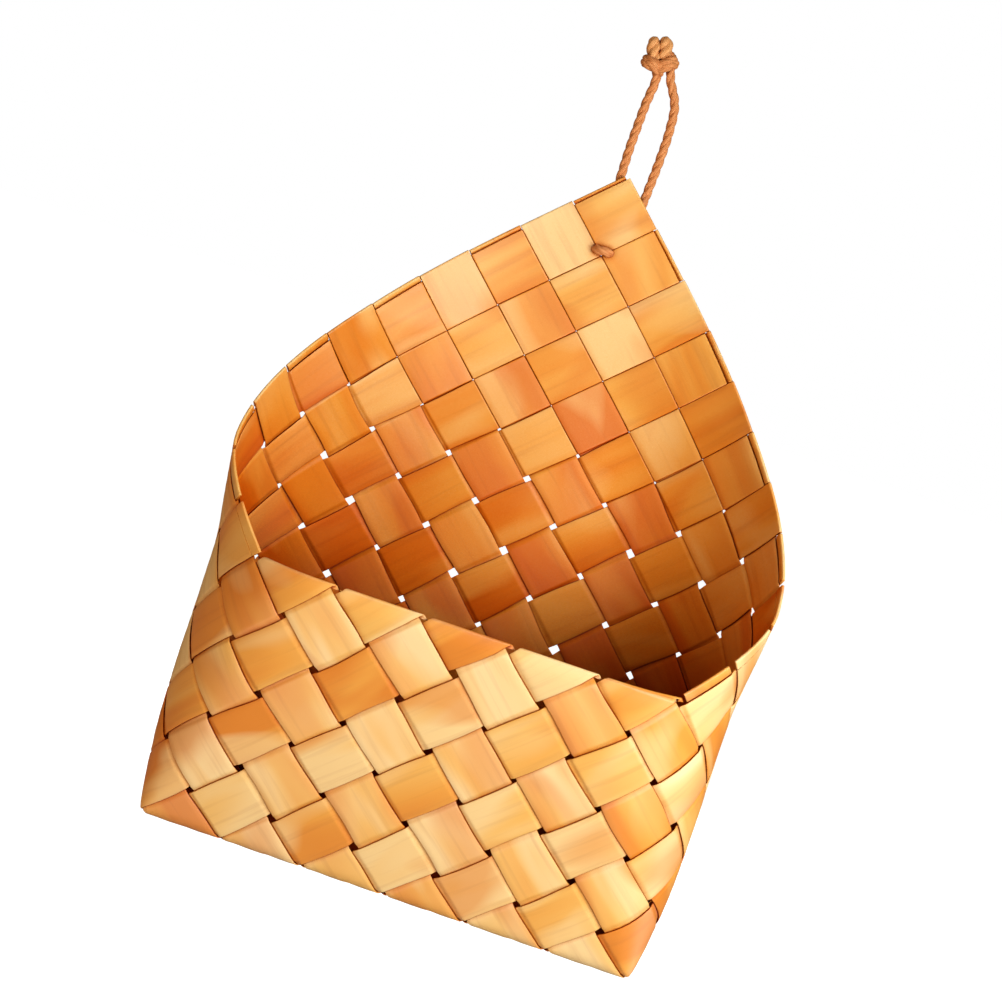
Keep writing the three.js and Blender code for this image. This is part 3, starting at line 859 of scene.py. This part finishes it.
def climb(x, y, dx, dy, wander):
    """The part of a splint that climbs the wall from one cell on the base's edge, from the foot up."""
    side = side_of(x, y)
    foot = side.place(x, y)
    run = (side.turn(dx, dy), 1)
    turn_steps = 2 * BACK_STEPS
    first_foot = 1 - RIM_ROW - RIM_HALF_STEPS
    mirrored_foot = first_foot + (run[0] * foot - first_foot) % turn_steps
    ends_on_rim = mirrored_foot + RIM_ROW < RIM_HALF_STEPS
    last_row = RIM_ROW if ends_on_rim else (turn_steps + RIM_ROW - RIM_HALF_STEPS - 1 - mirrored_foot) // 2
    ribbon = Ribbon()
    for row in range(last_row + 1):
        s = foot + run[0] * row
        outside = (run[0] > 0) != (s % 2 == 1)
        along = row * PITCH
        cell = Cell(
            side.chart,
            (s, row),
            run,
            (-run[1], run[0]),
            1 if outside else -1,
            lambda u, row=row: draw_together(row + u / PITCH, *wander(row * PITCH + u)),
        )
        if ends_on_rim and row == last_row:
            add_end = add_rim_fold if outside else add_rim_cut
            add_end(ribbon, cell, along)
            break
        stations = CELL_STATIONS
        if row == last_row:
            stations = np.append(stations[stations < HALF_SPLINT - END_MARGIN], HALF_SPLINT)
        for u in stations:
            ribbon.add(cell.section(u), along + u)
        if row == last_row:
            add_hem(ribbon, cell, along)
    return ribbon


def splint_ribbon(rising, line, random):
    """One whole splint: down one wall, across the base and up another wall."""
    cells = []
    for y in range(-BASE_DEPTH_STEPS, 1):
        x = line + y if rising else line - y
        if abs(x) <= HALF_WIDTH_STEPS:
            cells.append((x, y))
    run = (1 if rising else -1, 1)
    wave = random.uniform(*WANDER_LENGTHS)
    phase = random.uniform(0, 2 * math.pi)
    base_length = (len(cells) - 1) * PITCH

    def wander(along):
        turn = 2 * math.pi * along / wave + phase
        shift = SPLINT_DRIFT * np.sin(turn)
        stretch = 1 + EDGE_DRIFT / HALF_SPLINT * np.sin(WIDTH_PACE * turn + WIDTH_LAG)
        return shift, stretch

    def wander_back(along):
        shift, stretch = wander(-along)
        return -shift, stretch

    # The first wall is built from its foot up and then turned round, so its wander is turned round too.
    ribbon = climb(*cells[0], -run[0], -run[1], wander_back)
    ribbon.reverse()
    for k, (x, y) in enumerate(cells[1:-1], start=1):
        sign = 1 if rising == (x % 2 == 1) else -1
        along = k * PITCH
        cell = Cell(
            base_point,
            (x, y),
            run,
            (run[1], -run[0]),
            sign,
            lambda u, along=along: wander(along + u),
        )
        for u in CELL_STATIONS:
            ribbon.add(cell.section(u), along + u)
    last = climb(*cells[-1], *run, lambda along: wander(base_length + along))
    last.along = [places + base_length for places in last.along]
    ribbon.extend(last)
    return ribbon


def ribbon_object(name, ribbon, grain_start, tones):
    """A splint's mesh: two faces, two edges and two ends, with its grain and its tones."""
    outer = np.array(ribbon.outer)
    inner = np.array(ribbon.inner)
    rows, columns = outer.shape[:2]
    vertices = np.concatenate([outer.reshape(-1, 3), inner.reshape(-1, 3)])
    half = rows * columns
    faces = []
    for i in range(rows - 1):
        for j in range(columns - 1):
            a = i * columns + j
            b = a + columns
            faces.append((a, b, b + 1, a + 1))
            faces.append((half + a, half + a + 1, half + b + 1, half + b))
        right = i * columns
        left = right + columns - 1
        faces.append((left, left + columns, half + left + columns, half + left))
        faces.append((right, half + right, half + right + columns, right + columns))
    end = (rows - 1) * columns
    for j in range(columns - 1):
        faces.append((half + end + j, half + end + j + 1, end + j + 1, end + j))
        faces.append((j, j + 1, half + j + 1, half + j))
    along = np.array(ribbon.along).ravel()
    across = np.tile(ACROSS, rows)
    grain = np.stack([along * MM + grain_start, across * MM], axis=1)
    piece = make_object(name, vertices, faces, np.concatenate([grain, grain]), WOOD)
    tone = np.interp(along / PITCH, TONE_PLACES, tones)
    tone_layer = piece.data.attributes.new("tone", "FLOAT", "POINT")
    tone_layer.data.foreach_set("value", np.concatenate([tone, tone]))
    return piece


GRAIN_SPACING = 3.7  # metres of grain between one splint's texture and the next
TONE_PLACES = np.arange(-20, 35, 9)  # cells along a splint where its tone is set
TONE_SEED = 1
WANDER_SEED = 16
random = np.random.default_rng(WANDER_SEED)
splint_count = BACK_STEPS // 2
# From dark at -1 to pale at 1
splint_tones = np.random.default_rng(TONE_SEED).uniform(-1, 1, (2 * splint_count, len(TONE_PLACES)))
for rising in (True, False):
    first_line = 1 - HALF_WIDTH_STEPS - (0 if rising else BASE_DEPTH_STEPS)
    word = "right" if rising else "left"
    for i in range(splint_count):
        ribbon = splint_ribbon(rising, first_line + 2 * i, random)
        number = i + (0 if rising else splint_count)
        grain_start = GRAIN_SPACING * (1 + number)
        node = f"{word}_splint_{i + 1}"
        piece = ribbon_object(f"{node}_wood", ribbon, grain_start, splint_tones[number])
        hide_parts(node)
        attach(piece, "basket")

# Stage, in metres: a white floor under the basket, a white surrounding and soft lamps
FLOOR_DROP = 0.25
FLOOR_SIZE = 12.0
FLOOR_GLOW = 1.0  # light that the floor adds where the camera sees it, so that it shows white
FLOOR_COLOR = (0.4, 0.4, 0.4, 1)
FLOOR_ROUGHNESS = 0.9
floor_height = cad_box[0][2] - FLOOR_DROP
floor_half = FLOOR_SIZE / 2
floor_corners = [
    (x * floor_half, y * floor_half, floor_height) for x, y in ((-1, -1), (1, -1), (1, 1), (-1, 1))
]
floor_mesh = bpy.data.meshes.new("floor")
floor_mesh.from_pydata(floor_corners, [], [(0, 1, 2, 3)])
floor = bpy.data.objects.new("floor", floor_mesh)
bpy.context.collection.objects.link(floor)
floor_nodes = Nodes("floor_white")
floor_nodes.shader.inputs["Base Color"].default_value = FLOOR_COLOR
floor_nodes.shader.inputs["Roughness"].default_value = FLOOR_ROUGHNESS
floor_nodes.shader.inputs["Emission Color"].default_value = WHITE
floor_rays = floor_nodes.add("ShaderNodeLightPath")
floor_glow = floor_nodes.span(floor_rays.outputs["Is Camera Ray"], 0, FLOOR_GLOW)
floor_nodes.link(floor_glow, floor_nodes.shader.inputs["Emission Strength"])
floor_mesh.materials.append(floor_nodes.material)

SURROUNDING_LIGHT = 0.1
world = bpy.data.worlds.new("studio")
bpy.context.scene.world = world
world.use_nodes = True
world_tree = world.node_tree
world_tree.nodes.clear()
seen = world_tree.nodes.new("ShaderNodeBackground")
seen.inputs["Color"].default_value = WHITE
lighting = world_tree.nodes.new("ShaderNodeBackground")
lighting.inputs["Color"].default_value = WHITE
lighting.inputs["Strength"].default_value = SURROUNDING_LIGHT
rays = world_tree.nodes.new("ShaderNodeLightPath")
choice = world_tree.nodes.new("ShaderNodeMixShader")
world_output = world_tree.nodes.new("ShaderNodeOutputWorld")
world_tree.links.new(rays.outputs["Is Camera Ray"], choice.inputs["Fac"])
world_tree.links.new(lighting.outputs["Background"], choice.inputs[1])
world_tree.links.new(seen.outputs["Background"], choice.inputs[2])
world_tree.links.new(choice.outputs["Shader"], world_output.inputs["Surface"])


def add_lamp(name, place, target, size, power, color=(1, 1, 1), gloss=False):
    """A square soft lamp at a place in metres, facing a target. gloss shows it in the wood's sheen."""
    data = bpy.data.lights.new(name, "AREA")
    data.size = size
    data.energy = power
    data.color = color
    lamp = bpy.data.objects.new(name, data)
    bpy.context.collection.objects.link(lamp)
    toward = np.array(target) - np.array(place)
    toward = toward / np.linalg.norm(toward)
    side = np.cross(toward, (0, 0, 1.0))
    side = side / np.linalg.norm(side)
    axes = np.eye(4)
    axes[:3, 0] = side
    axes[:3, 1] = np.cross(side, toward)
    axes[:3, 2] = -toward
    axes[:3, 3] = place
    lamp.matrix_world = Matrix(axes.tolist())
    lamp.visible_glossy = gloss


BASKET_MIDDLE = (0, -0.04, -0.18)
FRONT_MIDDLE = (0, -0.09, -0.25)
WARM = (1, 0.62, 0.3)
add_lamp("key", (0.43, -0.46, -0.05), FRONT_MIDDLE, size=0.3, power=4.2, gloss=True)
add_lamp("fill", (0.25, -1.38, 0.0), BASKET_MIDDLE, size=0.8, power=5.0)
add_lamp("back", (0.1, 1.1, -0.1), BASKET_MIDDLE, size=0.8, power=7)
add_lamp("side", (-0.8, -0.7, -0.22), BASKET_MIDDLE, size=0.5, power=3, color=WARM)

view = bpy.context.scene.view_settings
view.view_transform = "Standard"
